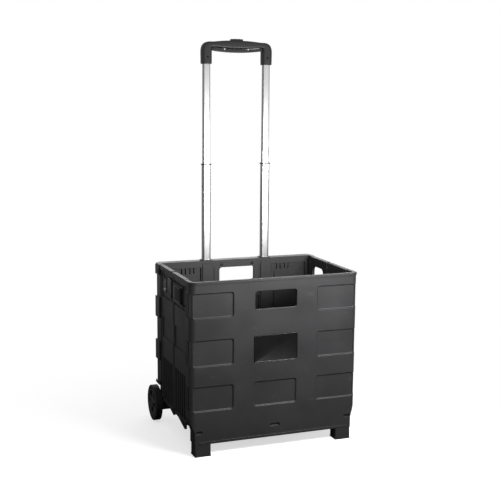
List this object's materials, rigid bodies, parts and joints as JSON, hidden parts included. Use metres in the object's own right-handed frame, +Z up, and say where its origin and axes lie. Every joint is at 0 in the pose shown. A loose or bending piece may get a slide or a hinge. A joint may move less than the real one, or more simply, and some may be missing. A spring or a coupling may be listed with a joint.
{
  "type": "shopping trolley on wheels",
  "caption": "Folding crate shopping trolley: hinged black plastic walls and base, telescopic aluminium tube handle with release button, wheels on a rear axle.",
  "frame": {"origin": "centre of the footprint box on the floor", "axes": "+Z up, the front panel faces -Y, +X is to the right seen from the front"},
  "size_m": [0.438, 0.34, 0.957],
  "materials": {
    "crate_black": "fine moulded texture, matt to satin",
    "handle_black": "smooth satin",
    "label_gloss": "gloss",
    "tube_aluminium": "brushed, silver anodised",
    "steel": "zinc plated",
    "black_screw": "black zinc plated",
    "tyre_rubber": "matt moulded rubber",
    "hub_plastic": "satin moulded"
  },
  "bodies": {
    "rear_wall": {"rear_panel": "crate_black", "rear_hinge_pins": "steel", "base_hinge_rod": "steel", "left_tube_channel_cover": "crate_black", "right_tube_channel_cover": "crate_black", "rear_frame_screws": "black_screw", "wheel_axle": "steel", "axle_washers": "steel", "left_fixed_tube": "tube_aluminium", "right_fixed_tube": "tube_aluminium", "left_fixed_tube_bush": "handle_black", "right_fixed_tube_bush": "handle_black"},
    "left_wheel": {"left_tyre": "tyre_rubber", "left_wheel_hub": "hub_plastic", "left_axle_cap": "hub_plastic"},
    "right_wheel": {"right_tyre": "tyre_rubber", "right_wheel_hub": "hub_plastic", "right_axle_cap": "hub_plastic"},
    "base": {"base_board": "crate_black"},
    "left_rear_wall": {"left_rear_leaf": "crate_black", "left_middle_hinge_pin": "steel"},
    "right_rear_wall": {"right_rear_leaf": "crate_black", "right_middle_hinge_pin": "steel"},
    "left_front_wall": {"left_front_leaf": "crate_black"},
    "right_front_wall": {"right_front_leaf": "crate_black"},
    "left_latch": {"left_wall_latch": "crate_black"},
    "right_latch": {"right_wall_latch": "crate_black"},
    "front_wall": {"front_panel": "crate_black", "label_plate": "label_gloss", "front_hinge_pins": "steel"},
    "middle_stage": {"left_middle_tube": "tube_aluminium", "right_middle_tube": "tube_aluminium", "left_middle_tube_bush": "handle_black", "right_middle_tube_bush": "handle_black"},
    "left_tube_lock": {"left_tube_lock_button": "handle_black"},
    "right_tube_lock": {"right_tube_lock_button": "handle_black"},
    "handle_stage": {"left_upper_tube": "tube_aluminium", "right_upper_tube": "tube_aluminium", "handle_grip": "handle_black", "handle_under_bow": "handle_black", "handle_screws": "black_screw", "upper_tube_plugs": "handle_black"},
    "release": {"release_button": "handle_black", "release_yoke": "handle_black", "release_rods": "steel", "release_springs": "steel"}
  },
  "joints": [
    {"name": "left_wheel_spin", "type": "hinge", "parent": "rear_wall", "child": "left_wheel", "pos_m": [-0.21, 0.125, 0.045], "axis": [1, 0, 0], "continuous": true},
    {"name": "right_wheel_spin", "type": "hinge", "parent": "rear_wall", "child": "right_wheel", "pos_m": [0.21, 0.125, 0.045], "axis": [1, 0, 0], "continuous": true},
    {"name": "wall_fold", "type": "hinge", "parent": "rear_wall", "child": "left_rear_wall", "pos_m": [-0.1995, 0.083, 0.23], "axis": [0, 0, 1], "range_deg": [0, 28]},
    {"name": "left_middle_hinge", "type": "hinge", "parent": "left_rear_wall", "child": "left_front_wall", "pos_m": [-0.1995, -0.021, 0.23], "axis": [0, 0, 1], "range_deg": [-56, 0]},
    {"name": "left_front_hinge", "type": "hinge", "parent": "left_front_wall", "child": "front_wall", "pos_m": [-0.1995, -0.125, 0.23], "axis": [0, 0, 1], "range_deg": [0, 28]},
    {"name": "right_rear_hinge", "type": "hinge", "parent": "rear_wall", "child": "right_rear_wall", "pos_m": [0.1995, 0.083, 0.23], "axis": [0, 0, 1], "range_deg": [-28, 0]},
    {"name": "right_middle_hinge", "type": "hinge", "parent": "right_rear_wall", "child": "right_front_wall", "pos_m": [0.1995, -0.021, 0.23], "axis": [0, 0, 1], "range_deg": [0, 56]},
    {"name": "base_fold", "type": "hinge", "parent": "rear_wall", "child": "base", "pos_m": [0, 0.089, 0.056], "axis": [1, 0, 0], "range_deg": [-90, 0]},
    {"name": "left_latch_slide", "type": "slide", "parent": "left_front_wall", "child": "left_latch", "axis": [0, -1, 0], "range_m": [-0.016, 0]},
    {"name": "right_latch_slide", "type": "slide", "parent": "right_front_wall", "child": "right_latch", "axis": [0, -1, 0], "range_m": [-0.016, 0]},
    {"name": "middle_stage_slide", "type": "slide", "parent": "rear_wall", "child": "middle_stage", "axis": [0, 0, 1], "range_m": [-0.236, 0]},
    {"name": "handle_stage_slide", "type": "slide", "parent": "middle_stage", "child": "handle_stage", "axis": [0, 0, 1], "range_m": [-0.24, 0]},
    {"name": "left_lock_press", "type": "slide", "parent": "middle_stage", "child": "left_tube_lock", "axis": [1, 0, 0], "range_m": [0, 0.002], "stiffness_N_per_m": 800},
    {"name": "right_lock_press", "type": "slide", "parent": "middle_stage", "child": "right_tube_lock", "axis": [-1, 0, 0], "range_m": [0, 0.002], "stiffness_N_per_m": 800},
    {"name": "release_press", "type": "slide", "parent": "handle_stage", "child": "release", "axis": [0, 0, 1], "range_m": [-0.0025, 0], "stiffness_N_per_m": 1500, "springref_m": 0.001, "deforming": ["release_springs"]}
  ],
  "couplings": [
    {"joint": "left_middle_hinge", "follows": "wall_fold", "ratio": -2},
    {"joint": "left_front_hinge", "follows": "wall_fold", "ratio": 1},
    {"joint": "right_rear_hinge", "follows": "wall_fold", "ratio": -1},
    {"joint": "right_middle_hinge", "follows": "wall_fold", "ratio": 2}
  ]
}
